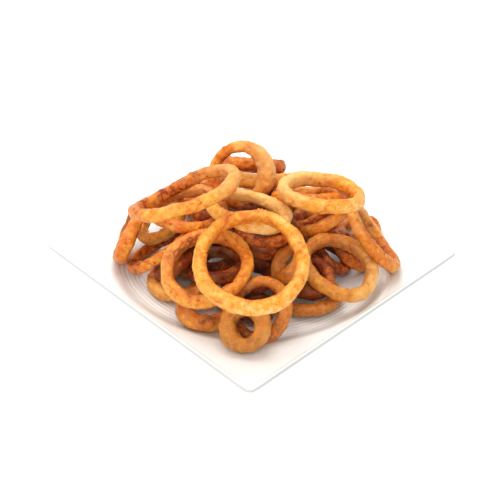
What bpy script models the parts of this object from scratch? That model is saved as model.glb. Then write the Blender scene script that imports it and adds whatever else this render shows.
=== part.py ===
"""A helping of fried onion rings heaped on a square white plate with a round well.

Metres, +Z up. The plate's sides lie along X and Y, and the origin is at the middle of
the ring that the plate stands on. Every onion ring is a closed solid of its own. They
are laid out in the heap's own frame, which is turned by 45 degrees, so that its X and Y
run along the plate's diagonals.
"""

import math

import bpy
import numpy as np
from mathutils import Matrix

# ---------------------------------------------------------------- plate
PLATE_SIDE = 0.254
CORNER_RADIUS = 0.007
RIM_HEIGHT = 0.0165  # top of the lip above the table
LIP_WIDTH = 0.0035
LIP_STEP = 0.0007  # the corner facets start this far below the lip
EDGE_THICKNESS = 0.0034
FACET_SLOPE = 0.12  # the four facets fall towards the well
WELL_HEIGHT = 0.0090  # floor of the well above the table
WELL_RADIUS = 0.1165
BANK_RADIUS = 0.1235  # top of the bank round the well
FOOT_INNER_RADIUS = 0.078
FOOT_OUTER_RADIUS = 0.086
RECESS_HEIGHT = 0.0032  # underside of the plate inside the foot
UNDERSIDE_RADIUS = 0.112  # the underside is flat out to here, then rises to the edge
UNDERSIDE_HEIGHT = 0.0046
DIRECTIONS_PER_SIDE = 8
CORNER_STEPS = 2

# ---------------------------------------------------------------- rings
HEAP_TURN = math.radians(45)
SECTIONS = 16  # round each ring
SECTION_SIDES = 7
SIDES_BELOW = 6  # for rings that the heap hides
CLEARANCE = 0.0003  # between rings that touch
PLATE_CLEARANCE = 0.0006  # the plate's facets are chords of its true surface
BATTER_HEIGHT = 1.12  # a ring's section is a little taller than it is wide
OVAL = 0.030  # these four are shares of a ring's radius or thickness
TRIANGULAR = 0.012
WARP = 0.030
THICKNESS_SWING = 0.07
EASING_STEPS = 700
HOLDING_STEPS = 300  # steps in which rings are also drawn back to where they were laid
HOLD = 0.06
FREEDOM_BELOW = 6.0  # rings under the heap give way more readily than those on top
REACH = 0.030  # stretches of ring further apart than this can't touch

# Each ring: distance across, thickness, middle above the well's floor (x, y, z), lean from
# lying flat and the heading that it leans towards. Millimetres and degrees.
SHOWING_RINGS = {
    "ring_top_standing": (59, 11.2, (-12, 22, 66), 64, -108),
    "ring_top_middle": (74, 11.6, (3, 56, 41), 24, 74),
    "ring_top_rear": (66, 11.6, (-1, 88, 34), 26, 86),
    "ring_left_upper": (90, 9.8, (-53, -38, 80), 30, 144),
    "ring_left_upright": (52, 9.4, (-77, 10, 27), 46, -156),
    "ring_left_lower": (72, 9.2, (-72, -25, 22), 43, 154),
    "ring_left_edge": (52, 10.8, (-103, -15, 27), 67, 178),
    "ring_left_inner": (68, 10.0, (-53, -12, 50), 6, 37),
    "ring_centre": (71, 10.1, (-1, -31, 63), 19, 13),
    "ring_centre_under": (48, 9.3, (10, -38, 49), 15, 107),
    "ring_right_upper": (73, 10.6, (55, -22, 77), 12, 71),
    "ring_right_under": (69, 10.2, (47, 11, 50), 25, 88),
    "ring_right_inner": (50, 9.7, (56, -5, 39), 34, 143),
    "ring_right_edge": (69, 9.6, (96, -17, 31), 49, 1),
    "ring_right_low": (42, 11.6, (46, -56, 17), 22, -171),
    "ring_right_lean": (43, 9.5, (68, -19, 12), 50, -2),
    "ring_right_tilted": (46, 9.6, (84, -12, 14), 39, 9),
    "ring_right_base": (55, 9.7, (45, -66, 6), 4, 177),
    "ring_front_right": (66, 10.8, (71, -54, 28), 20, -71),
    "ring_front_large": (89, 10.8, (-1, -102, 66), 17.5, -100),
    "ring_front_left": (74, 10.8, (-34, -78, 42), 16, -104),
    "ring_front_inner": (38, 9.9, (28, -65, 40), 56, -168),
    "ring_front_core": (48, 9.2, (-29, -52, 19), 32, 168),
    "ring_front_small": (41, 13.4, (-4, -123, 21), 50, -110),
    "ring_front_behind": (52, 10.1, (5, -102, 19), 48, -115),
    "ring_front_base": (47, 13.0, (-36, -85, 7), 4, 89),
    "ring_left_base": (48, 11.8, (-58, -57, 6), 2, -40),
}
# Rings more misshapen than the rest. Oval, and the direction in the ring that it is longest
# in, then share by which two opposite sides are bent up, how much thicker its first side is
# than its last, and how much thicker both of those are than the sides between.
MISSHAPEN_RINGS = {
    "ring_top_standing": (0.05, 45, 0.03, 0.18, 0.12),
    "ring_left_upper": (0.06, 45, 0.05, 0.04, 0.06),
}
SUPPORTING_RINGS = {
    "ring_core_base": (50, 10.0, (14, 6, 6), 0, 0),
    "ring_core_low": (76, 10.0, (2, 20, 17), 2, 60),
    "ring_core_middle": (68, 10.0, (10, 27, 28), 4, 80),
    "ring_core_high": (62, 10.0, (8, -22, 38), 6, -160),
    "ring_core_front": (50, 10.0, (-4, -56, 17), 4, 20),
    "ring_core_left": (40, 10.0, (-36, 6, 31), 10, 90),
    "ring_core_left_low": (36, 10.0, (-62, -50, 17), 2, 100),
    "ring_base_left": (64, 10.0, (-30, 60, 6), 0, 0),
    "ring_base_inner_left": (52, 10.0, (-38, -12, 6), 0, 0),
    "ring_base_front": (34, 10.0, (1, -83, 6), 0, 0),
    "ring_base_right": (56, 10.0, (50, 46, 6), 0, 0),
    "ring_base_back": (52, 10.0, (26, 90, 6), 0, 0),
    "ring_back_left": (56, 10.0, (-48, 62, 17), 4, 110),
    "ring_back_right": (58, 10.0, (50, 62, 17), 4, 70),
    "ring_back_right_edge": (42, 10.0, (92, 26, 6), 0, 0),
    "ring_back_left_high": (36, 10.0, (-63, 46, 22), 4, 0),
}


def make_material(name, colour, roughness):
    material = bpy.data.materials.new(name)
    material.use_nodes = True
    shader = material.node_tree.nodes["Principled BSDF"]
    shader.inputs["Base Color"].default_value = (*colour, 1.0)
    shader.inputs["Roughness"].default_value = roughness
    shader.inputs["Metallic"].default_value = 0.0
    return material


def make_object(name, points, faces, material):
    mesh = bpy.data.meshes.new(name)
    mesh.from_pydata([tuple(p) for p in points], [], faces)
    mesh.shade_smooth()
    mesh.set_sharp_from_angle(angle=math.radians(40))
    mesh.materials.append(material)
    piece = bpy.data.objects.new(name, mesh)
    bpy.context.scene.collection.objects.link(piece)
    return piece


# ---------------------------------------------------------------- the plate


def plate_top(x, y):
    """Height of the plate's upper surface: a flat well, a bank, and facets that fall from the lip."""
    inset = PLATE_SIDE / 2 - np.maximum(np.abs(x), np.abs(y))
    facet = RIM_HEIGHT - LIP_STEP - FACET_SLOPE * np.maximum(inset - LIP_WIDTH, 0.0)
    rim = np.where(inset < LIP_WIDTH, RIM_HEIGHT, facet)
    climb = (np.hypot(x, y) - WELL_RADIUS) / (BANK_RADIUS - WELL_RADIUS)
    return WELL_HEIGHT + np.clip(climb, 0.0, 1.0) * (rim - WELL_HEIGHT)


def outline_directions():
    """Directions from the plate's middle: even along the sides, closer round the corners."""
    corner_half = math.atan2(CORNER_RADIUS, PLATE_SIDE - CORNER_RADIUS)
    directions = []
    for quarter in range(4):
        middle = quarter * math.pi / 2 + math.pi / 4
        for step in range(CORNER_STEPS + 1):
            directions.append(middle + corner_half * (2 * step / CORNER_STEPS - 1))
        start = middle + corner_half
        span = math.pi / 2 - 2 * corner_half
        for step in range(1, DIRECTIONS_PER_SIDE):
            directions.append(start + span * step / DIRECTIONS_PER_SIDE)
    return np.array(directions)


def square_reach(directions, inset):
    """Distance from the middle to the rounded square, set in from the plate's edge."""
    half = PLATE_SIDE / 2 - inset
    radius = max(CORNER_RADIUS - inset, 0.0)
    core = half - radius
    along = np.abs(np.cos(directions))
    across = np.abs(np.sin(directions))
    straight = half / np.maximum(along, across)
    dot = core * (along + across)
    round_corner = dot + np.sqrt(np.maximum(dot * dot - 2 * core * core + radius * radius, 0.0))
    in_corner = straight * np.minimum(along, across) > core
    return np.where(in_corner, round_corner, straight)


def make_plate(material):
    """Loops of points from the middle of the top, over the edge, to the middle of the underside."""
    directions = outline_directions()
    count = len(directions)
    lip_inside = square_reach(directions, LIP_WIDTH)
    edge = square_reach(directions, 0.0)
    edge_bottom = square_reach(directions, 0.0008)
    circle = np.ones(count)
    bank = np.minimum(BANK_RADIUS, lip_inside - 0.0003)
    facet_x = lip_inside * np.cos(directions)
    facet_y = lip_inside * np.sin(directions)
    lip_foot = plate_top(facet_x * 0.9999, facet_y * 0.9999)
    loops = [
        (circle * WELL_RADIUS, circle * WELL_HEIGHT),
        (bank, plate_top(bank * np.cos(directions), bank * np.sin(directions))),
        (lip_inside, np.minimum(lip_foot, RIM_HEIGHT - LIP_STEP)),
        (lip_inside + 0.0007, circle * RIM_HEIGHT),
        (edge, circle * (RIM_HEIGHT - 0.0002)),
        (edge_bottom, circle * (RIM_HEIGHT - EDGE_THICKNESS)),
        (circle * UNDERSIDE_RADIUS, circle * UNDERSIDE_HEIGHT),
        (circle * (FOOT_OUTER_RADIUS + 0.002), circle * UNDERSIDE_HEIGHT),
        (circle * FOOT_OUTER_RADIUS, circle * 0.0),
        (circle * FOOT_INNER_RADIUS, circle * 0.0),
        (circle * (FOOT_INNER_RADIUS - 0.002), circle * RECESS_HEIGHT),
    ]
    points = [(0.0, 0.0, WELL_HEIGHT)]
    for reach, height in loops:
        points += zip(reach * np.cos(directions), reach * np.sin(directions), height)
    points.append((0.0, 0.0, RECESS_HEIGHT))
    bottom = len(points) - 1
    faces = []
    for step in range(count):
        ahead = (step + 1) % count
        faces.append((0, 1 + step, 1 + ahead))
        for loop in range(len(loops) - 1):
            here = 1 + loop * count
            there = here + count
            faces.append((here + step, there + step, there + ahead, here + ahead))
        last = 1 + (len(loops) - 1) * count
        faces.append((last + step, bottom, last + ahead))
    return make_object("plate", points, faces, material)


# ---------------------------------------------------------------- one onion ring


def ring_shape(index, name, across, thickness):
    """Middle line and section of a hand-cut ring: a circle made a little oval, bent and uneven."""
    turn = np.arange(SECTIONS) * 2 * math.pi / SECTIONS
    phase = index * 2.39996  # the golden angle, so no two neighbours are alike
    if name in MISSHAPEN_RINGS:
        oval, longest, warp, thicker_side, thicker_ends = MISSHAPEN_RINGS[name]
        longest = math.radians(longest)
        lift = warp * np.sin(2 * turn)
        swing = 1 + thicker_side * np.cos(turn) + thicker_ends * np.cos(2 * turn)
    else:
        oval, longest = OVAL, phase
        lift = WARP * np.sin(2 * turn + 0.7 * phase)
        uneven = 0.7 * np.cos(turn + phase) + 0.3 * np.cos(3 * turn - phase)
        swing = 1 + THICKNESS_SWING * uneven
    radius = (across - thickness) / 2
    triangular = TRIANGULAR * np.cos(3 * turn + 1.7 * phase)
    reach = radius * (1 + oval * np.cos(2 * (turn - longest)) + triangular)
    line = np.stack([reach * np.cos(turn), reach * np.sin(turn), radius * lift], axis=1)
    half_width = thickness / 2 * swing
    return line, half_width, half_width * BATTER_HEIGHT


def make_ring(name, shape, sides, material):
    """Flat sections through the ring's own axis, joined all the way round."""
    line, half_width, half_height = shape
    outward = line * (1, 1, 0)
    outward /= np.linalg.norm(outward, axis=1)[:, None]
    points = []
    for middle, out, wide, high in zip(line, outward, half_width, half_height):
        for side in range(sides):
            angle = 2 * math.pi * side / sides
            points.append(middle + out * wide * math.cos(angle) + (0, 0, high * math.sin(angle)))
    faces = []
    for section in range(SECTIONS):
        here = section * sides
        there = (section + 1) % SECTIONS * sides
        for side in range(sides):
            ahead = (side + 1) % sides
            faces.append((here + side, there + side, there + ahead, here + ahead))
    return make_object(name, points, faces, material)


# ---------------------------------------------------------------- laying the rings


def turned(rotation, vector):
    """Each rotation matrix turned further by its small rotation vector."""
    angle = np.linalg.norm(vector, axis=1)
    x, y, z = (vector / np.maximum(angle, 1e-12)[:, None]).T
    none = np.zeros_like(x)
    cross = np.stack([none, -z, y, z, none, -x, -y, x, none], axis=1).reshape(-1, 3, 3)
    sine = np.sin(angle)[:, None, None]
    cosine = np.cos(angle)[:, None, None]
    return (np.eye(3) + sine * cross + (1 - cosine) * (cross @ cross)) @ rotation


def nearest_shares(start_a, run_a, start_b, run_b):
    """How far along two straight stretches their nearest points lie, from 0 to 1."""
    between = start_a - start_b
    aa = (run_a * run_a).sum(-1)
    bb = (run_b * run_b).sum(-1)
    ab = (run_a * run_b).sum(-1)
    toward_a = (run_a * between).sum(-1)
    toward_b = (run_b * between).sum(-1)
    share_a = (ab * toward_b - toward_a * bb) / np.maximum(aa * bb - ab * ab, 1e-18)
    share_a = np.clip(share_a, 0, 1)
    share_b = np.clip((ab * share_a + toward_b) / bb, 0, 1)
    share_a = np.clip((ab * share_b - toward_a) / aa, 0, 1)
    return share_a, np.clip((ab * share_a + toward_b) / bb, 0, 1)


def half_depth(direction, outward, axis, wide, high):
    """Half of an oval section's depth along a direction."""
    along_width = (direction * outward).sum(-1) * wide
    along_height = (direction * axis).sum(-1) * high
    return np.hypot(along_width, along_height)


def ease_apart(middles, rotations, shapes, freedom):
    """Move and turn the rings by the least that keeps them from cutting each other or the plate.

    In each step every pair of stretches that is too close is pushed apart along the line
    between its nearest points, and a ring takes the average of the pushes on it. At first
    the rings are also drawn back to where they were laid.
    """
    lines = np.stack([shape[0] for shape in shapes])
    wide = np.stack([shape[1] for shape in shapes])
    high = np.stack([shape[2] for shape in shapes])
    outward = lines * (1, 1, 0)
    outward /= np.linalg.norm(outward, axis=2)[..., None]
    reach = np.linalg.norm(lines, axis=2).mean(axis=1)
    laid_middles, laid_rotations = middles.copy(), rotations.copy()
    first, second = np.triu_indices(len(middles), 1)
    for step in range(EASING_STEPS):
        points = middles[:, None] + np.einsum("nij,nsj->nsi", rotations, lines)
        outs = np.einsum("nij,nsj->nsi", rotations, outward)
        axes = rotations[:, :, 2]
        runs = np.roll(points, -1, axis=1) - points
        halfway = points + runs / 2
        apart = np.linalg.norm(middles[first] - middles[second], axis=1)
        close = apart < reach[first] + reach[second] + REACH
        a, b = first[close], second[close]
        gaps = np.linalg.norm(halfway[a][:, :, None] - halfway[b][:, None], axis=-1)
        pair, along_a, along_b = np.where(gaps < REACH)
        a, b = a[pair], b[pair]
        share_a, share_b = nearest_shares(
            points[a, along_a], runs[a, along_a], points[b, along_b], runs[b, along_b]
        )
        at_a = points[a, along_a] + runs[a, along_a] * share_a[:, None]
        at_b = points[b, along_b] + runs[b, along_b] * share_b[:, None]
        distance = np.linalg.norm(at_a - at_b, axis=1)
        direction = (at_a - at_b) / np.maximum(distance, 1e-9)[:, None]
        needed = CLEARANCE
        for ring, along, share in ((a, along_a, share_a), (b, along_b, share_b)):
            following = (along + 1) % SECTIONS
            here = half_depth(direction, outs[ring, along], axes[ring], wide[ring, along], high[ring, along])
            there = half_depth(
                direction, outs[ring, following], axes[ring], wide[ring, following], high[ring, following]
            )
            needed = needed + np.maximum(here, there)
        depth = needed - distance
        touching = depth > 0
        a, b, at_a, at_b = a[touching], b[touching], at_a[touching], at_b[touching]
        direction, depth = direction[touching], depth[touching]
        upward = np.array([0.0, 0.0, 1.0])
        below = half_depth(upward, outs, axes[:, None], wide, high)
        sunk = height_to_clear(points, below) + PLATE_CLEARANCE - points[..., 2]
        low_ring, low_section = np.where(sunk > 0)
        lift = upward * sunk[low_ring, low_section][:, None]
        share = freedom[a] / (freedom[a] + freedom[b])
        pushes = (
            (a, at_a, direction * (depth * share)[:, None]),
            (b, at_b, -direction * (depth * (1 - share))[:, None]),
            (low_ring, points[low_ring, low_section], lift),
        )
        move = np.zeros_like(middles)
        spin = np.zeros_like(middles)
        count = np.zeros(len(middles))
        for ring, place, push in pushes:
            np.add.at(move, ring, push)
            np.add.at(spin, ring, np.cross(place - middles[ring], push))
            np.add.at(count, ring, 1)
        eagerness = 1.5 / np.maximum(count, 1)[:, None]
        middles = middles + move * eagerness
        rotations = turned(rotations, spin * eagerness / (0.7 * reach**2)[:, None])
        if step < HOLDING_STEPS:
            hold = HOLD * (1 - step / HOLDING_STEPS)
            middles = middles + hold * (laid_middles - middles)
            away = np.einsum("nij,nkj->nik", laid_rotations, rotations)
            back = np.stack(
                [away[:, 2, 1] - away[:, 1, 2], away[:, 0, 2] - away[:, 2, 0], away[:, 1, 0] - away[:, 0, 1]],
                axis=1,
            )
            rotations = turned(rotations, hold * back / 2)
        elif (len(depth) == 0 or depth.max() < CLEARANCE / 10) and sunk.max() < CLEARANCE / 3:
            break
    return middles, rotations


def heap_floor(x, y):
    """Height of the plate above its well's floor, at a place in the heap's turned frame."""
    cosine, sine = math.cos(HEAP_TURN), math.sin(HEAP_TURN)
    return plate_top(x * cosine - y * sine, x * sine + y * cosine) - WELL_HEIGHT


def height_to_clear(points, half):
    """Height at which a round section just clears the plate, whose bank rises outwards."""
    from_middle = np.hypot(points[..., 0], points[..., 1])
    heights = []
    for share in (0.0, 0.3, 0.5, 0.7, 0.85):
        further = 1 + share * half / np.maximum(from_middle, 0.001)
        floor = heap_floor(points[..., 0] * further, points[..., 1] * further)
        heights.append(floor + half * math.sqrt(1 - share * share))
    return np.max(heights, axis=0)


def laid(lean, heading):
    """Rotation that tips a flat ring by its lean towards its heading."""
    lean, heading = math.radians(lean), math.radians(heading)
    tip = np.array(
        [[math.cos(lean), 0, math.sin(lean)], [0, 1, 0], [-math.sin(lean), 0, math.cos(lean)]]
    )
    face = np.array(
        [[math.cos(heading), -math.sin(heading), 0], [math.sin(heading), math.cos(heading), 0], [0, 0, 1]]
    )
    return face @ tip @ face.T


def make_heap(material):
    heap = bpy.data.objects.new("heap", None)
    heap.location = (0, 0, WELL_HEIGHT)
    heap.rotation_euler = (0, 0, HEAP_TURN)
    bpy.context.scene.collection.objects.link(heap)
    rings = {**SHOWING_RINGS, **SUPPORTING_RINGS}
    shapes = []
    for index, (name, (across, thickness, *_)) in enumerate(rings.items()):
        shapes.append(ring_shape(index, name, across / 1000, thickness / 1000))
    middles = np.array([ring[2] for ring in rings.values()]) / 1000
    rotations = np.stack([laid(ring[3], ring[4]) for ring in rings.values()])
    freedom = np.where([name in SHOWING_RINGS for name in rings], 1.0, FREEDOM_BELOW)
    middles, rotations = ease_apart(middles, rotations, shapes, freedom)
    for name, shape, middle, rotation in zip(rings, shapes, middles, rotations):
        sides = SECTION_SIDES if name in SHOWING_RINGS else SIDES_BELOW
        ring = make_ring(name, shape, sides, material)
        placed = np.eye(4)
        placed[:3, :3] = rotation
        placed[:3, 3] = middle
        ring.parent = heap
        ring.matrix_basis = Matrix(placed.tolist())


def main():
    for item in list(bpy.data.objects):
        bpy.data.objects.remove(item, do_unlink=True)
    porcelain = make_material("white_porcelain", (0.86, 0.85, 0.83), 0.12)
    batter = make_material("fried_batter", (0.72, 0.33, 0.07), 0.55)
    make_plate(porcelain)
    make_heap(batter)


main()
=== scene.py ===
import math

import bpy
import numpy as np
from mathutils import Matrix, Vector


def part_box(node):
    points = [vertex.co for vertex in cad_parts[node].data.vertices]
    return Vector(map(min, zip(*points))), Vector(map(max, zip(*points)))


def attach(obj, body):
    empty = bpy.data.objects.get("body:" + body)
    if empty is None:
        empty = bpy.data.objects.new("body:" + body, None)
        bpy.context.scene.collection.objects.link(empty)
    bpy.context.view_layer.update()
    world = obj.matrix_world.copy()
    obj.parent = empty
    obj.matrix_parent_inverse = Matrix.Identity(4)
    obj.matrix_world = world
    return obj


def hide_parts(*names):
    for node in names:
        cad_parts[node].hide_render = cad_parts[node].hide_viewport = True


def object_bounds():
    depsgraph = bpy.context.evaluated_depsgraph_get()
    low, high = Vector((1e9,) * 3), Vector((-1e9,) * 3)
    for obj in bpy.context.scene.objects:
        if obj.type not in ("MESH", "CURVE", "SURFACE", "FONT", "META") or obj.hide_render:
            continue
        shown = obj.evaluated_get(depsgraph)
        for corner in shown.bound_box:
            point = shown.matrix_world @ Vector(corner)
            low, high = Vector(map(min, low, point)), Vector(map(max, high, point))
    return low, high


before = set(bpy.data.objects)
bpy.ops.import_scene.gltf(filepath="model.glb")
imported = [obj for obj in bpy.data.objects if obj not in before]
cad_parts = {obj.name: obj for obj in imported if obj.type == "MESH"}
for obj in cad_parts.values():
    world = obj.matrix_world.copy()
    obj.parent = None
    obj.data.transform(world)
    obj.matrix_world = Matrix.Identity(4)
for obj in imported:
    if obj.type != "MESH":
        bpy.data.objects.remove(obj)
cadBox = [[float(value) for value in corner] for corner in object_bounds()]
ringNames = sorted(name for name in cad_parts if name.startswith("ring_"))
print("frame loaded,", len(ringNames), "rings and a plate")

# the heap lies cornerwise on the plate: its right, away and up
heapRight = np.array([math.cos(math.pi / 4), math.sin(math.pi / 4), 0.0])
heapAway = np.array([-math.sin(math.pi / 4), math.cos(math.pi / 4), 0.0])


class Value:
    # one output in a shader graph; arithmetic on it adds Math nodes
    def __init__(self, graph, output):
        self.graph = graph
        self.output = output

    def worked(self, operation, first, second):
        return self.graph.node("ShaderNodeMath", {"operation": operation}, {0: first, 1: second})

    def __add__(self, other):
        return self.worked("ADD", self, other)

    def __radd__(self, other):
        return self.worked("ADD", other, self)

    def __sub__(self, other):
        return self.worked("SUBTRACT", self, other)

    def __rsub__(self, other):
        return self.worked("SUBTRACT", other, self)

    def __mul__(self, other):
        return self.worked("MULTIPLY", self, other)

    def __rmul__(self, other):
        return self.worked("MULTIPLY", other, self)

    def between(self, low, high):
        # 0 at low, 1 at high, and a smooth rise from one to the other
        settings = {"interpolation_type": "SMOOTHSTEP"}
        inputs = {"Value": self, "From Min": low, "From Max": high}
        return self.graph.node("ShaderNodeMapRange", settings, inputs)


class Graph:
    # a material and its nodes
    def __init__(self, name):
        self.material = bpy.data.materials.new(name)
        self.material.use_nodes = True
        self.tree = self.material.node_tree
        self.surface = self.tree.nodes["Principled BSDF"]

    def node(self, kind, settings=None, inputs=None, output=0):
        made = self.tree.nodes.new(kind)
        for name, setting in (settings or {}).items():
            if name == "stops":
                self.setStops(made.color_ramp, setting)
            else:
                setattr(made, name, setting)
        self.feed(made, inputs or {})
        return Value(self, made.outputs[output])

    def feed(self, made, inputs):
        for name, given in inputs.items():
            if isinstance(given, Value):
                self.tree.links.new(given.output, made.inputs[name])
            else:
                made.inputs[name].default_value = given

    def setStops(self, ramp, stops):
        ramp.interpolation = "EASE"
        while len(ramp.elements) < len(stops):
            ramp.elements.new(0.5)
        for element, (place, colour) in zip(ramp.elements, stops):
            element.position = place
            element.color = (*colour, 1.0)

    def noise(self, place, scale, detail=3.0, roughness=0.55):
        inputs = {"Vector": place, "Scale": scale, "Detail": detail, "Roughness": roughness}
        return self.node("ShaderNodeTexNoise", {}, inputs)

    def blend(self, share, first, second):
        return self.node("ShaderNodeMix", {"data_type": "RGBA"}, {0: share, 6: first, 7: second}, 2)


latticeSide = 24  # cells after which the noise repeats


def latticeNoise(points, cell, seed):
    # random values on a cubic lattice with this cell, blended smoothly in between, from -1 to 1
    values = np.random.default_rng(seed).uniform(-1.0, 1.0, (latticeSide,) * 3)
    scaled = points / cell
    whole = np.floor(scaled).astype(int)
    part = scaled - whole
    part = part * part * (3.0 - 2.0 * part)
    total = np.zeros(points.shape[:-1])
    for corner in np.ndindex(2, 2, 2):
        weight = np.where(corner, part, 1.0 - part).prod(axis=-1)
        index = (whole + corner) % latticeSide
        total += weight * values[index[..., 0], index[..., 1], index[..., 2]]
    return total


def gridMesh(name, points, values=None):
    # a closed tube: each point of the grid, around by across, joins the next in both directions,
    # and the last of them the first
    around, across = points.shape[:2]
    index = np.arange(around * across).reshape(around, across)
    onward = np.roll(index, -1, axis=0)
    quads = np.stack([index, onward, np.roll(onward, -1, axis=1), np.roll(index, -1, axis=1)], axis=-1)
    return quadMesh(name, points.reshape(-1, 3), quads.reshape(-1, 4), values)


def quadMesh(name, points, quads, values=None):
    # values go to the material as attributes of the points
    mesh = bpy.data.meshes.new(name)
    mesh.vertices.add(len(points))
    mesh.vertices.foreach_set("co", points.astype(np.float32).ravel())
    mesh.loops.add(quads.size)
    mesh.loops.foreach_set("vertex_index", quads.astype(np.int32).ravel())
    mesh.polygons.add(len(quads))
    mesh.polygons.foreach_set("loop_start", np.arange(0, quads.size, quads.shape[1], dtype=np.int32))
    mesh.update(calc_edges=True)
    mesh.shade_smooth()
    for key, given in (values or {}).items():
        mesh.attributes.new(key, "FLOAT", "POINT").data.foreach_set("value", given.astype(np.float32).ravel())
    piece = bpy.data.objects.new(name, mesh)
    bpy.context.scene.collection.objects.link(piece)
    return piece


def cornersOf(node):
    mesh = node.data
    corners = np.empty(len(mesh.vertices) * 3, np.float32)
    mesh.vertices.foreach_get("co", corners)
    return np.unique(np.round(corners.reshape(-1, 3).astype(float), 6), axis=0)


def smoothLoop(samples, count):
    # the smooth closed curve through evenly spaced samples, as its Fourier series read more finely
    return np.fft.irfft(np.fft.rfft(samples, axis=0), count, axis=0) * (count / len(samples))


batter = {
    "step": 0.00078, "across": 58,  # between sections of a ring that shows, and points round each
    "stepBelow": 0.0011, "acrossBelow": 44,  # the same for the rings under and behind
    "below": ("ring_core_", "ring_base_", "ring_back_"),
    "sections": 16,  # in which the frame's rings are built
    "inset": 0.00030,  # the skin's mean depth under the frame's outline
    "squareness": 2.4, "squarenessSwing": 0.7, "squarenessCell": 0.014,  # 2 is oval, more is boxier
    "wander": 0.0010, "wanderCell": 0.019,  # of the middle line
    "swell": 0.085, "swellCell": 0.016,  # of the thickness, as a share
    "lump": 0.00055, "lumpCell": 0.0085,
    "bump": 0.00038, "bumpCell": 0.0036,
    "grain": 0.00018, "grainCell": 0.0016,
    "wrinkle": 0.00034, "wrinkleCell": 0.0021,  # short wrinkles across the ring
    "wrinkledCell": 0.010, "wrinkledPlaces": (2.0, 0.2),  # where they are: a rise of noise less a start
    "fold": 0.00060, "foldCell": 0.0105, "foldWidth": 0.055, "foldWaver": 0.10,  # thin winding folds
    "foldedCell": 0.012, "foldedPlaces": (3, 0.4),
    # spots: how many for each millimetre of ring, how high or deep, smallest and largest, flatness,
    # and the share of the height that is the same for all of them
    "blisters": 0.45, "blisterHeight": 0.00075, "blisterSpots": (0.0010, 0.0026, 1.0), "blisterEven": 0.45,
    "pits": 0.10, "pitDepth": 0.0008, "pitSpots": (0.0006, 0.0013, 1.5),
    "crumbs": 0.22, "crumbHeight": 0.0007, "crumbSpots": (0.0006, 0.0013, 2.0), "crumbEven": 0.5,
    "noiseShift": 0.5,  # how far apart two rings may lie in the noise
    "topGap": 0.0002, "topSoftness": 0.0003,  # how the highest ring ends under the frame's top
}

# how much browner each trait makes the skin, and how large its slow and its small patches are
browning = {
    "mean": 0.42, "slow": 0.20, "slowCell": 0.018, "bumps": 0.12, "grain": 0.06, "folds": 0.30, "pits": 0.35,
    "blisters": 0.10, "wrinkles": 0.10, "inside": 0.17,
    "patch": 0.24, "patchCell": 0.015, "fleck": 0.28, "fleckCell": 0.005,  # of paleness
    "palestShare": 0.25, "dullSwing": 0.15,
}

# How brown, how pale and how dull each ring that shows is, against the rest, and the side of
# the ring that is palest: degrees round it, from the heap's right towards its far side. These
# are partly painted light and shade: the brown and dull columns darken the rings that lie low
# or deep in the heap's shade and lighten those lit from above, and the paleness is a painted
# highlight, cream on the side of the ring that faces the lamps.
tints = {
    "ring_top_standing": (0.06, 0.70, 0.0, 10), "ring_top_middle": (0.04, 0.40, 0.0, -90),
    "ring_top_rear": (0.20, 0.00, 0.0, 0), "ring_left_upper": (0.06, 0.42, 0.0, 0),
    "ring_left_upright": (0.02, 0.20, 0.0, 180), "ring_left_lower": (0.20, 0.00, 0.0, 0),
    "ring_left_edge": (0.10, 0.00, 0.0, 0), "ring_left_inner": (0.10, 0.60, 0.0, 120),
    "ring_centre": (-0.24, 1.15, 0.0, 80), "ring_centre_under": (0.40, 0.00, 0.0, 0),
    "ring_right_upper": (-0.12, 1.10, 0.0, 160), "ring_right_under": (0.04, 0.50, 0.0, 90),
    "ring_right_inner": (0.12, 0.20, 0.1, 0), "ring_right_edge": (0.00, 0.55, 0.1, 150),
    "ring_right_low": (0.52, 0.00, 0.0, 0), "ring_right_lean": (0.50, 0.00, 0.0, 0),
    "ring_right_tilted": (0.34, 0.00, 0.0, 0), "ring_right_base": (0.22, 0.00, 0.55, 0),
    "ring_front_right": (0.00, 0.60, 0.60, -10), "ring_front_large": (-0.13, 0.00, 0.0, 20),
    "ring_front_left": (0.00, 0.15, 0.1, 180), "ring_front_inner": (0.16, 0.00, 0.45, 0),
    "ring_front_core": (0.50, 0.00, 0.0, 0), "ring_front_small": (0.20, 0.00, 0.75, 0),
    "ring_front_behind": (0.20, 0.00, 0.45, 0), "ring_front_base": (0.12, 0.00, 0.3, 0),
    "ring_left_base": (0.02, 0.15, 0.3, 180),
    "ring_back_left": (0.06, 0.20, 0.0, 90), "ring_back_left_high": (0.14, 0.10, 0.0, 90),
    "ring_back_right": (0.10, 0.20, 0.0, 90), "ring_back_right_edge": (0.16, 0.10, 0.1, 90),
    "ring_base_back": (0.08, 0.10, 0.2, 90), "ring_base_left": (0.14, 0.10, 0.1, 180),
    "ring_base_right": (0.12, 0.00, 0.2, 0), "ring_core_middle": (0.34, 0.00, 0.0, 0),
}
paintedShadeBelow = (0.52, 0.0, 0.0, 0)  # of the rest, inside the heap: much browner, painted shade
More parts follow.
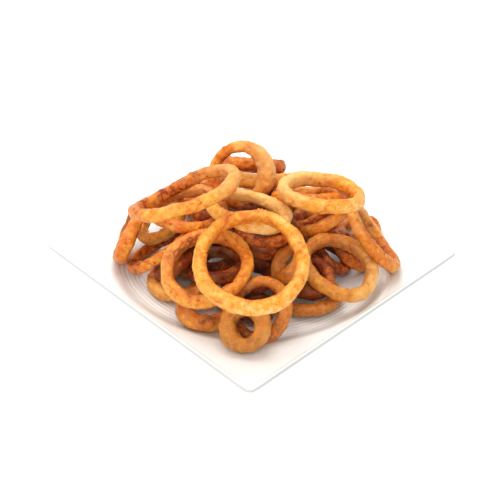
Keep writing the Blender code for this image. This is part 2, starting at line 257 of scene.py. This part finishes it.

# Spots that one ring has and the others don't: degrees round the ring from its right side,
# degrees round its section from the outside, then width, height and how much browner.
marks = {
    "ring_front_large": [
        (118, 110, 0.0046, -0.0006, 0.22), (126, 60, 0.0034, 0.0009, -0.15),
        (190, 150, 0.0022, 0.0009, 0.45), (12, 70, 0.0018, 0.0008, 0.30), (18, 95, 0.0014, 0.0009, 0.35),
        (6, 110, 0.0015, 0.0007, 0.25), (84, 40, 0.0011, 0.0012, 0.05), (80, 55, 0.0008, 0.0012, 0.10),
        (76, 35, 0.0009, 0.0010, 0.05), (-62, 120, 0.0040, 0.0004, 0.22), (-95, 130, 0.0050, 0.0, 0.20),
    ],
    "ring_left_upper": [
        (-35, 100, 0.0030, -0.0006, 0.25), (60, 100, 0.0040, -0.0004, 0.30), (95, 80, 0.0036, 0.0004, 0.30),
        (130, 100, 0.0040, 0.0, 0.25),
    ],
    "ring_right_edge": [(-80, 80, 0.0016, 0.0008, 0.20), (-80, 80, 0.0009, -0.0016, 0.45)],
    "ring_front_right": [(-35, 90, 0.0014, -0.0008, 0.20), (100, 90, 0.0060, 0.0, 0.18)],
    "ring_front_left": [(170, 90, 0.0020, 0.0006, 0.20), (-110, 100, 0.0030, 0.0004, 0.25)],
    "ring_left_base": [
        (190, 60, 0.0009, -0.0010, 0.50), (200, 70, 0.0008, -0.0010, 0.50), (180, 50, 0.0007, -0.0008, 0.50),
    ],
    "ring_front_base": [(-100, 60, 0.0024, -0.0014, 0.35), (-80, 90, 0.0036, 0.0006, 0.20)],
    "ring_right_upper": [(-110, 90, 0.0030, 0.0005, 0.22), (-60, 70, 0.0030, 0.0004, 0.18)],
    "ring_top_standing": [(20, 90, 0.0022, -0.0006, 0.25), (-20, 80, 0.0024, 0.0006, 0.22)],
}


def ringFromFrame(node):
    # The frame's ring is made of flat sections through its own axis. The axis is the way in which
    # its corners spread least, and their angles round it sort the corners into sections.
    corners = cornersOf(node)
    middle = corners.mean(axis=0)
    axis = np.linalg.eigh(np.cov((corners - middle).T))[1][:, 0]
    axis *= 1.0 if axis[2] > 0 else -1.0
    right = heapRight - axis * (heapRight @ axis)
    right /= np.linalg.norm(right)
    away = np.cross(axis, right)
    angles = np.arctan2((corners - middle) @ away, (corners - middle) @ right)
    order = np.argsort(angles)
    steps = np.diff(angles[order], append=angles[order[0]] + 2 * math.pi)
    order = np.roll(order, -1 - int(np.argmax(steps)))
    sections = corners[order].reshape(batter["sections"], -1, 3)
    line = sections.mean(axis=1)
    outward = line - middle - ((line - middle) @ axis)[:, None] * axis
    outward /= np.linalg.norm(outward, axis=1)[:, None]
    offsets = sections - line[:, None]
    # half of the width and the height, from how far the corners of an oval spread
    wide = np.sqrt(2 * np.mean(np.einsum("sci,si->sc", offsets, outward) ** 2, axis=1))
    high = np.sqrt(2 * np.mean((offsets @ axis) ** 2, axis=1))
    start = math.atan2(outward[0] @ away, outward[0] @ right)
    return {"middle": middle, "axis": axis, "right": right, "away": away,
            "line": line, "wide": wide, "high": high, "start": start}


def spots(random, skin, number, smallest, largest, flatness):
    # The tallest of a number of round spots at each point, 1 in the middle of a spot. A spot with
    # a high flatness has a level top and a steep edge.
    around, across = skin.shape[:2]
    total = np.zeros((around, across))
    for _ in range(number):
        centre = skin[random.integers(around), random.integers(across)]
        size = random.uniform(smallest, largest)
        gap = np.linalg.norm(skin - centre, axis=-1) / size
        total = np.maximum(total, np.exp(-gap ** (2 * flatness)))
    return total


def acrossNoise(line, cosine, sine, cell, seed):
    # Noise that changes fast along the ring and slowly round its section. The distance along the
    # ring is wound on a circle, so that the noise meets itself where the ring closes.
    along = np.linalg.norm(np.roll(line, -1, axis=0) - line, axis=1).cumsum() / cell
    reach = along[-1] / (2 * math.pi)
    circle = reach * np.stack([np.cos(along / reach), np.sin(along / reach)], axis=-1)
    shape = (len(line), len(cosine))
    slowness, apart = 0.8, 9.5
    total = 0
    for part, shift in ((cosine, 0.0), (sine, apart)):
        third = np.broadcast_to(part * slowness + shift, shape)[..., None]
        spread = np.concatenate([np.broadcast_to(circle[:, None], (*shape, 2)), third], axis=-1)
        total = total + 0.5 * latticeNoise(spread, 1.0, seed)
    return total


def tubeFrom(ring, around, across, seed, shift):
    # A closed tube: the point at an angle round the ring and a turn round its section is the
    # middle line, plus outward times the half width times cos, plus the axis times the half
    # height times sin, both raised to a power below one.
    turn = 2 * math.pi * np.arange(across) / across
    line = smoothLoop(ring["line"], around)
    swell = 1 + batter["swell"] * latticeNoise(line + shift, batter["swellCell"], seed)
    wide = (smoothLoop(ring["wide"], around) * swell)[:, None]
    high = (smoothLoop(ring["high"], around) * swell)[:, None]
    line = line + batter["wander"] * np.stack(
        [latticeNoise(line + shift, batter["wanderCell"], seed + k) for k in (1, 2, 3)], axis=-1)
    outward = line - ring["middle"]
    outward -= (outward @ ring["axis"])[:, None] * ring["axis"]
    outward /= np.linalg.norm(outward, axis=1)[:, None]
    boxy = latticeNoise(line + shift, batter["squarenessCell"], seed + 4)[:, None]
    power = 2 / (batter["squareness"] + batter["squarenessSwing"] * boxy)
    cosine, sine = np.cos(turn)[None], np.sin(turn)[None]
    out = np.sign(cosine) * np.abs(cosine) ** power
    up = np.sign(sine) * np.abs(sine) ** power
    outward = outward[:, None]
    normal = (out * high)[..., None] * outward + (up * wide)[..., None] * ring["axis"]
    normal /= np.linalg.norm(normal, axis=-1)[..., None]
    skin = line[:, None] + (out * wide)[..., None] * outward + (up * high)[..., None] * ring["axis"]
    return line, cosine, sine, normal, skin


def inPlaces(noise, rise, start):
    # noise times a rise, less a start, held from 0 to 1: nothing in most places and all of it in some
    return np.clip(noise * rise - start, 0, 1)


def partly(even, noise):
    # an even share, and the rest of it times the noise
    return even + (1 - even) * noise


def markSkin(skin, bearing, ownMarks):
    # the height and the browning that a ring's own marks give to each point of its skin
    raised = np.zeros(skin.shape[:2])
    marked = np.zeros(skin.shape[:2])
    for degrees, turned, size, lift, browner in ownMarks:
        station = int(np.argmax(np.cos(bearing - math.radians(degrees))))
        centre = skin[station, int(turned / 360 * skin.shape[1])]
        spot = np.exp(-(np.linalg.norm(skin - centre, axis=-1) / size) ** 2)
        raised += lift * spot
        marked += browner * spot
    return raised, marked


def ringSkin(ring, step, across, seed, tint, ownMarks):
    # a tube whose points noise and spots move along the normal, and how the batter looks there
    random = np.random.default_rng(seed)
    shift = random.uniform(0, batter["noiseShift"], 3)
    length = 2 * math.pi * np.linalg.norm(ring["line"] - ring["middle"], axis=1).mean()
    around = 2 * int(length / step / 2)
    line, cosine, sine, normal, skin = tubeFrom(ring, around, across, seed, shift)
    place = skin + shift
    lumps = latticeNoise(place, batter["lumpCell"], seed + 5)
    bumps = latticeNoise(place, batter["bumpCell"], seed + 6)
    grain = latticeNoise(place, batter["grainCell"], seed + 7)
    wrinkled = inPlaces(latticeNoise(place, batter["wrinkledCell"], seed + 8), *batter["wrinkledPlaces"])
    wrinkles = acrossNoise(line, cosine[0], sine[0], batter["wrinkleCell"], seed + 9) * wrinkled
    # a fold runs where slow noise crosses zero, and only in some places
    bend = latticeNoise(place, batter["foldCell"], seed + 10) + batter["foldWaver"] * bumps
    folded = inPlaces(latticeNoise(place, batter["foldedCell"], seed + 11), *batter["foldedPlaces"])
    folds = np.exp(-(bend / batter["foldWidth"]) ** 2) * folded
    blisters, pits, crumbs = (
        spots(random, skin, int(batter[kind] * length * 1000), *batter[sizes])
        for kind, sizes in (("blisters", "blisterSpots"), ("pits", "pitSpots"), ("crumbs", "crumbSpots")))
    height = (
        -batter["inset"] + batter["lump"] * lumps + batter["bump"] * bumps + batter["grain"] * grain
        + batter["wrinkle"] * wrinkles - batter["fold"] * folds
        + batter["blisterHeight"] * blisters * partly(batter["blisterEven"], lumps)
        - batter["pitDepth"] * pits + batter["crumbHeight"] * crumbs * partly(batter["crumbEven"], bumps))
    skin = skin + height[..., None] * normal
    rounds = line - ring["middle"]
    bearing = np.arctan2(rounds @ ring["away"], rounds @ ring["right"])
    raised, marked = markSkin(skin, bearing, ownMarks)
    skin = skin + raised[..., None] * normal
    # the highest ring stops at the top of the frame's box: heights become the softened lower
    # of themselves and the top
    top, softness = cadBox[1][2] - batter["topGap"], batter["topSoftness"]
    skin[..., 2] = top - softness * np.logaddexp(0, (top - skin[..., 2]) / softness)
    # how brown: folds, pits and blisters fry darker and the inside of a ring is browner;
    # the ring's tint adds painted shade to low and hidden rings and painted light to rings lit from above
    brown, pale, dull, litSide = tint
    slow = latticeNoise(place, browning["slowCell"], seed + 12)
    toast = (
        browning["mean"] + brown + browning["slow"] * slow + browning["bumps"] * bumps
        + browning["grain"] * grain + browning["folds"] * folds + browning["pits"] * pits
        + browning["blisters"] * blisters + browning["wrinkles"] * wrinkles
        + browning["inside"] * (0.5 - 0.5 * cosine) + marked)
    # how light: a painted highlight, most on the ring's lit side, and paler patches and flecks at random
    facing = np.cos(bearing - math.radians(litSide))
    paintedHighlight = pale * np.clip(partly(browning["palestShare"], facing), 0, 1)[:, None]
    patches = browning["patch"] * latticeNoise(place, browning["patchCell"], seed + 13)
    flecks = browning["fleck"] * latticeNoise(place, browning["fleckCell"], seed + 14)
    return skin, {
        "toast": toast, "pale": np.clip(paintedHighlight + (patches + flecks), 0, 1),
        "dull": np.clip(dull + browning["dullSwing"] * lumps, 0, 1)}


def makeRings():
    pieces = []
    for number, name in enumerate(ringNames):
        below = name.startswith(batter["below"])
        step = batter["stepBelow"] if below else batter["step"]
        across = batter["acrossBelow"] if below else batter["across"]
        ring = ringFromFrame(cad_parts[name])
        tint = tints.get(name, paintedShadeBelow)
        skin, values = ringSkin(ring, step, across, 100 * number, tint, marks.get(name, []))
        piece = gridMesh("fried_" + name, skin, values)
        pieces.append(piece)
        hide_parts(name)
    return pieces


plate = {
    "directions": 240,
    "lip": 0.0035, "lipStep": 0.0007, "facetSlope": 0.12,
    "cornerRadius": 0.007, "edge": 0.0034,
    "well": 0.0090, "wellRadius": 0.1080, "bankRadius": 0.1235, "bankGap": 0.0004,
    "ridges": 5, "ridgeSpacing": 0.0032, "ridgeOutside": 0.1130, "ridgeHeight": 0.00024,
    "ridgeSharpness": 1.5, "ridgeFades": (4, 2),  # how fast they set in outside and die out inside
    "wellStations": ((0.002, 0.09, 12), (0.094, 0.1165, 84)),  # from, to and how many
    "bankStations": 10, "facetStations": 12,
    "undersideRadius": 0.112, "underside": 0.0046, "undersideStations": 8, "undersideCurve": 1.25,
    # the lip and the side: how far in from the outline and how far down from the rim
    "edgeShape": (
        (0.0032, 0.00055), (0.0029, 0.00025), (0.0025, 0.00005), (0.0021, 0.0), (0.0017, 0.0001),
        (0.0013, 0.0003), (0.0009, 0.0006), (0.0005, 0.0010), (0.0002, 0.0015), (0.0, 0.0021),
        (0.0003, 0.0028), (0.0008, 0.0034)),
    "sideAbove": 3,  # of these, before the widest one, are already on the side
    # the foot ring and the hollow inside it: radius and height
    "footShape": (
        (0.0890, 0.0046), (0.0876, 0.0042), (0.0868, 0.0022), (0.0860, 0.0006), (0.0848, 0.0),
        (0.0792, 0.0), (0.0780, 0.0006), (0.0772, 0.0018), (0.0760, 0.0032), (0.04, 0.0032), (0.003, 0.0032)),
}


def smoothStep(share):
    # three squares less two cubes of a share held from 0 to 1, which starts and ends level
    share = np.clip(share, 0, 1)
    return share * share * (3 - 2 * share)


def squareReach(directions, half, radius):
    # Distance from the middle to a square with rounded corners, in each direction. On a side it is
    # the half width over the larger of cos and sin. At a corner the ray meets a circle round the
    # point (core, core): the dot product with that point, plus the square root of the product
    # squared less the point's distance squared plus the radius squared.
    along, across = np.abs(np.cos(directions)), np.abs(np.sin(directions))
    straight = half / np.maximum(along, across)
    core = half - radius
    dot = core * (along + across)
    rounded = dot + np.sqrt(np.maximum(dot * dot - 2 * core * core + radius * radius, 0))
    return np.where(straight * np.minimum(along, across) > core, rounded, straight)


def plateLoops():
    # Stations from the middle of the well out to the lip, over the edge and back underneath. Each
    # is a reach and a height for every direction: a circle on the well and underneath, the rounded
    # square at the lip, and a blend of the two between.
    low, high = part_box("plate")
    half, rim = high.x, high.z
    directions = 2 * math.pi * (np.arange(plate["directions"]) + 0.5) / plate["directions"]
    stations = []

    def top(reach):
        x, y = np.abs(reach * np.cos(directions)), np.abs(reach * np.sin(directions))
        inset = half - np.maximum(x, y)
        facet = rim - plate["lipStep"] - plate["facetSlope"] * np.maximum(inset - plate["lip"], 0)
        climb = smoothStep((reach - plate["wellRadius"]) / (plate["bankRadius"] - plate["wellRadius"]))
        # the well's outer part is turned in fine steps
        inward = (plate["ridgeOutside"] - reach) / plate["ridgeSpacing"]
        setsIn, diesOut = plate["ridgeFades"]
        ridged = smoothStep(inward * setsIn) * smoothStep((plate["ridges"] - inward) * diesOut)
        ridge = plate["ridgeHeight"] * ridged * (1 - np.abs(2 * (inward % 1) - 1)) ** plate["ridgeSharpness"]
        return plate["well"] + ridge + climb * (facet - plate["well"])

    for reach in np.concatenate([np.linspace(*spread) for spread in plate["wellStations"]]):
        reach = np.full_like(directions, reach)
        stations.append((reach, top(reach)))
    wellEnd = plate["wellStations"][-1][1]
    inside = squareReach(directions, half - plate["lip"], plate["cornerRadius"] - plate["lip"])
    bankEnd = np.minimum(plate["bankRadius"], inside - plate["bankGap"])
    for share in np.linspace(0, 1, plate["bankStations"] + 1)[1:]:
        reach = wellEnd + (bankEnd - wellEnd) * share
        stations.append((reach, top(reach)))
    for share in np.linspace(0, 1, plate["facetStations"] + 1)[1:]:
        reach = bankEnd + (inside - bankEnd) * share
        stations.append((reach, np.minimum(top(reach), rim - plate["lipStep"])))
    for inset, drop in plate["edgeShape"]:
        reach = squareReach(directions, half - inset, max(plate["cornerRadius"] - inset, 0.001))
        stations.append((reach, np.full_like(reach, rim - drop)))
    inset = plate["edgeShape"][-1][0]
    outer = squareReach(directions, half - inset, plate["cornerRadius"] - inset)
    for share in np.linspace(0, 1, plate["undersideStations"] + 1)[1:]:
        reach = outer + (plate["undersideRadius"] - outer) * share
        rise = (rim - plate["edge"] - plate["underside"]) * (1 - share) ** plate["undersideCurve"]
        stations.append((reach, np.full_like(reach, plate["underside"] + rise)))
    for reach, height in plate["footShape"]:
        stations.append((np.full_like(directions, reach), np.full_like(directions, height)))
    return directions, stations


def makePlate():
    directions, stations = plateLoops()
    reach = np.array([station[0] for station in stations])
    height = np.array([station[1] for station in stations])
    points = np.stack([reach * np.cos(directions), reach * np.sin(directions), height], axis=-1)
    count = len(directions)
    index = np.arange(reach.size).reshape(reach.shape)
    inner, outer = index[:-1], index[1:]
    quads = np.stack([inner, outer, np.roll(outer, -1, axis=1), np.roll(inner, -1, axis=1)], axis=-1)
    # the two poles are closed with one more point each
    middles = np.array([[0, 0, height[0, 0]], [0, 0, height[-1, 0]]])
    topPole, bottomPole = reach.size, reach.size + 1
    # painted shade: the side and the underside are a shade greyer, 1 on them and 0 on top
    under = np.zeros(reach.shape)
    under[np.argmax(reach.mean(axis=1)) - plate["sideAbove"]:] = 1
    under = np.append(under, (0, 1))
    points = np.concatenate([points.reshape(-1, 3), middles])
    piece = quadMesh("glazed_plate", points, quads.reshape(-1, 4), {"under": under})
    mesh = piece.data
    firstLoop, faces = len(mesh.loops), len(mesh.polygons)
    caps = np.stack([
        np.stack([np.full(count, topPole), index[0], np.roll(index[0], -1)], axis=-1),
        np.stack([np.roll(index[-1], -1), index[-1], np.full(count, bottomPole)], axis=-1)]).reshape(-1, 3)
    mesh.loops.add(caps.size)
    mesh.polygons.add(len(caps))
    corners = np.concatenate([quads.ravel(), caps.ravel()]).astype(np.int32)
    starts = np.concatenate([np.arange(faces) * 4, firstLoop + np.arange(len(caps)) * 3]).astype(np.int32)
    mesh.loops.foreach_set("vertex_index", corners)
    mesh.polygons.foreach_set("loop_start", starts)
    mesh.update(calc_edges=True)
    mesh.shade_smooth()
    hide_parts("plate")
    return piece


batterFinish = {
    # cream shows where the paleness is high: partly a painted highlight on each ring's lit side
    "cream": (0.95, 0.62, 0.25), "gold": (0.84, 0.395, 0.045), "orange": (0.72, 0.205, 0.020),
    # the brown and deep tones are reached chiefly by the low and hidden rings that carry painted shade
    "brown": (0.27, 0.048, 0.009), "deep": (0.085, 0.015, 0.006),
    # tan comes in with dullness: on the low front rings partly painted shade
    "tan": (0.52, 0.27, 0.060), "speck": (0.26, 0.060, 0.010),
    # where each of the first five stands between the palest and the brownest tone
    "places": (("cream", 0.014), ("gold", 0.24), ("orange", 0.435), ("brown", 0.70), ("deep", 1.0)),
    "toneScale": 0.7,
    "mottleScale": 240.0, "fineScale": 950.0, "grainScale": 2300.0, "speckScale": 430.0, "crowdScale": 130.0,
    "mottled": 0.80, "finer": 0.85, "specks": 0.6,  # how strongly each shows
    "speckEdge": (0.10, 0.30), "crowded": (0.50, 0.68),
    "dullness": 1.4, "paleness": 1.35,
    "roughness": 0.39, "fineRoughness": 0.30, "mottleRoughness": 0.15,
    "coat": 0.14, "coatRoughness": 0.22, "ior": 1.40,
    "subsurface": 0.04, "subsurfaceRadius": (0.004, 0.0018, 0.0008),
    "relief": 0.95, "reliefDepth": 0.0006, "fineRelief": 0.6, "grainRelief": 0.25, "mottleRelief": 0.5,
}


def batterMaterial():
    finish = batterFinish
    graph = Graph("friedBatter")
    place = graph.node("ShaderNodeTexCoord", output="Object")
    # of these, the browning holds painted shade on low and hidden rings, and the paleness a painted highlight
    # on each ring's lit side
    toast, pale, dull = (
        graph.node("ShaderNodeAttribute", {"attribute_name": name}, output="Fac")
        for name in ("toast", "pale", "dull"))
    mottle = graph.noise(place, finish["mottleScale"], 4.0)
    fine = graph.noise(place, finish["fineScale"], 3.0, 0.65)
    tone = toast + (mottle - 0.5) * finish["mottled"] + (fine - 0.5) * finish["finer"]
    stops = [(spot, finish[name]) for name, spot in finish["places"]]
    colour = graph.node("ShaderNodeValToRGB", {"stops": stops}, {"Fac": tone * finish["toneScale"]})
    # a duller tan in mottled patches; its strength on the low front rings is partly painted shade
    colour = graph.blend(dull * mottle * finish["dullness"], colour, (*finish["tan"], 1.0))
    # cream: a painted highlight on each ring's lit side, and paler patches at random
    colour = graph.blend(pale * fine * finish["paleness"], colour, (*finish["cream"], 1.0))
    # small dark specks, thicker in some places
    cells = {"Vector": place, "Scale": finish["speckScale"], "Randomness": 1.0}
    nearSpeck = graph.node("ShaderNodeTexVoronoi", {}, cells)
    crowd = graph.noise(place, finish["crowdScale"], 2.0)
    specks = (1 - nearSpeck.between(*finish["speckEdge"])) * crowd.between(*finish["crowded"])
    colour = graph.blend(specks * finish["specks"], colour, (*finish["speck"], 1.0))
    roughness = (
        finish["roughness"] + (fine - 0.5) * finish["fineRoughness"]
        + (mottle - 0.5) * finish["mottleRoughness"])
    grain = graph.noise(place, finish["grainScale"], 2.0)
    relief = fine * finish["fineRelief"] + grain * finish["grainRelief"] + mottle * finish["mottleRelief"]
    bump = graph.node("ShaderNodeBump", {}, {
        "Strength": finish["relief"], "Distance": finish["reliefDepth"], "Height": relief})
    graph.feed(graph.surface, {
        "Base Color": colour, "Roughness": roughness, "Normal": bump, "IOR": finish["ior"],
        "Subsurface Weight": finish["subsurface"], "Subsurface Radius": finish["subsurfaceRadius"],
        "Subsurface Scale": 1.0, "Coat Weight": finish["coat"], "Coat Roughness": finish["coatRoughness"]})
    return graph.material


glazeFinish = {
    "white": (0.90, 0.93, 0.915), "whiter": (0.915, 0.945, 0.935), "sideShadeGrey": (0.62, 0.63, 0.60),
    "driftScale": 18.0, "drifted": (0.3, 0.7), "hazeScale": 60.0, "waveScale": 45.0,
    "roughness": 0.07, "haze": 0.06, "wave": 0.12, "waveDepth": 0.0004,
    "ior": 1.52, "coat": 0.4, "coatRoughness": 0.03,
}


def glazeMaterial():
    finish = glazeFinish
    graph = Graph("whiteGlaze")
    place = graph.node("ShaderNodeTexCoord", output="Object")
    drift = graph.noise(place, finish["driftScale"], 2.0)
    drifted = drift.between(*finish["drifted"])
    colour = graph.blend(drifted, (*finish["white"], 1.0), (*finish["whiter"], 1.0))
    # painted shade: the side and the underside blend to grey
    under = graph.node("ShaderNodeAttribute", {"attribute_name": "under"}, output="Fac")
    colour = graph.blend(under, colour, (*finish["sideShadeGrey"], 1.0))
    haze = graph.noise(place, finish["hazeScale"], 3.0)
    wave = graph.noise(place, finish["waveScale"], 1.0)
    bump = graph.node("ShaderNodeBump", {}, {
        "Strength": finish["wave"], "Distance": finish["waveDepth"], "Height": wave})
    graph.feed(graph.surface, {
        "Base Color": colour, "Roughness": finish["roughness"] + haze * finish["haze"], "Normal": bump,
        "IOR": finish["ior"], "Coat Weight": finish["coat"], "Coat Roughness": finish["coatRoughness"]})
    return graph.material


def dress(pieces, material):
    for piece in pieces:
        piece.data.materials.clear()
        piece.data.materials.append(material)
        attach(piece, "root")


studio = {
    "azimuth": 44.79, "elevation": 35.10, "distance": 0.7749, "roll": 1.29, "lens": 64.8,
    "target": (-0.0015, -0.0042, 0.016),  # to the heap's right, away, and up
    # two round softboxes: place as for the target, width in metres, power in watts
    "above": ((-0.22, 0.18, 1.0), 0.9, 6.4), "front": ((-0.15, -0.8, 0.7), 0.8, 2.6),
    "lampsAim": 0.03,
    "world": 0.86, "exposure": -0.03, "gamma": 0.84,
    "floorHalf": 3, "floorDrop": 0.0004, "floorWhite": 0.4, "floorRoughness": 0.9, "floorGlow": 0.78,
}


def fromHeap(right, away, height):
    return Vector(heapRight * right + heapAway * away) + Vector((0, 0, height))


def makeFloor():
    mesh = bpy.data.meshes.new("floor")
    half, drop = studio["floorHalf"], -studio["floorDrop"]
    corners = [(-half, -half, drop), (half, -half, drop), (half, half, drop), (-half, half, drop)]
    mesh.from_pydata(corners, [], [(0, 1, 2, 3)])
    floor = bpy.data.objects.new("floor", mesh)
    bpy.context.scene.collection.objects.link(floor)
    graph = Graph("paleFloor")
    white = studio["floorWhite"]
    graph.feed(graph.surface, {
        "Base Color": (white, white, white, 1), "Roughness": studio["floorRoughness"],
        "Emission Color": (1, 1, 1, 1), "Emission Strength": studio["floorGlow"]})
    mesh.materials.append(graph.material)


def areaLight(name, place, size, power):
    light = bpy.data.lights.new(name, "AREA")
    light.shape = "DISK"
    light.size = size
    light.energy = power
    lamp = bpy.data.objects.new(name, light)
    lamp.location = fromHeap(*place)
    aim = Vector((0, 0, studio["lampsAim"])) - lamp.location
    lamp.rotation_euler = aim.to_track_quat("-Z", "Y").to_euler()
    bpy.context.scene.collection.objects.link(lamp)


def lightAndLook():
    scene = bpy.context.scene
    scene.world = bpy.data.worlds.new("studio")
    scene.world.use_nodes = True
    back = scene.world.node_tree.nodes["Background"]
    back.inputs["Color"].default_value = (1, 1, 1, 1)
    back.inputs["Strength"].default_value = studio["world"]
    scene.view_settings.view_transform = "Standard"
    scene.view_settings.exposure = studio["exposure"]
    scene.view_settings.gamma = studio["gamma"]
    areaLight("softboxAbove", *studio["above"])
    areaLight("softboxFront", *studio["front"])


def makeCamera():
    # stands back from the target along azimuth and elevation, then turns by the roll
    turn, rise = math.radians(studio["azimuth"]), math.radians(studio["elevation"])
    back = Vector((math.sin(turn) * math.cos(rise), -math.cos(turn) * math.cos(rise), math.sin(rise)))
    target = fromHeap(*studio["target"])
    camera = bpy.data.cameras.new("camera")
    camera.lens = studio["lens"]
    camera.sensor_width = 36.0
    camera.clip_start = 0.01
    seen = bpy.data.objects.new("camera", camera)
    seen.matrix_world = (
        Matrix.Translation(target + back * studio["distance"])
        @ back.to_track_quat("Z", "Y").to_matrix().to_4x4()
        @ Matrix.Rotation(math.radians(studio["roll"]), 4, "Z"))
    bpy.context.scene.collection.objects.link(seen)
    bpy.context.scene.camera = seen


rings = makeRings()
print("rings made,", sum(2 * len(ring.data.polygons) for ring in rings), "triangles")
dress(rings, batterMaterial())
dress([makePlate()], glazeMaterial())
print("plate made")
makeFloor()
lightAndLook()
makeCamera()
print("finished")
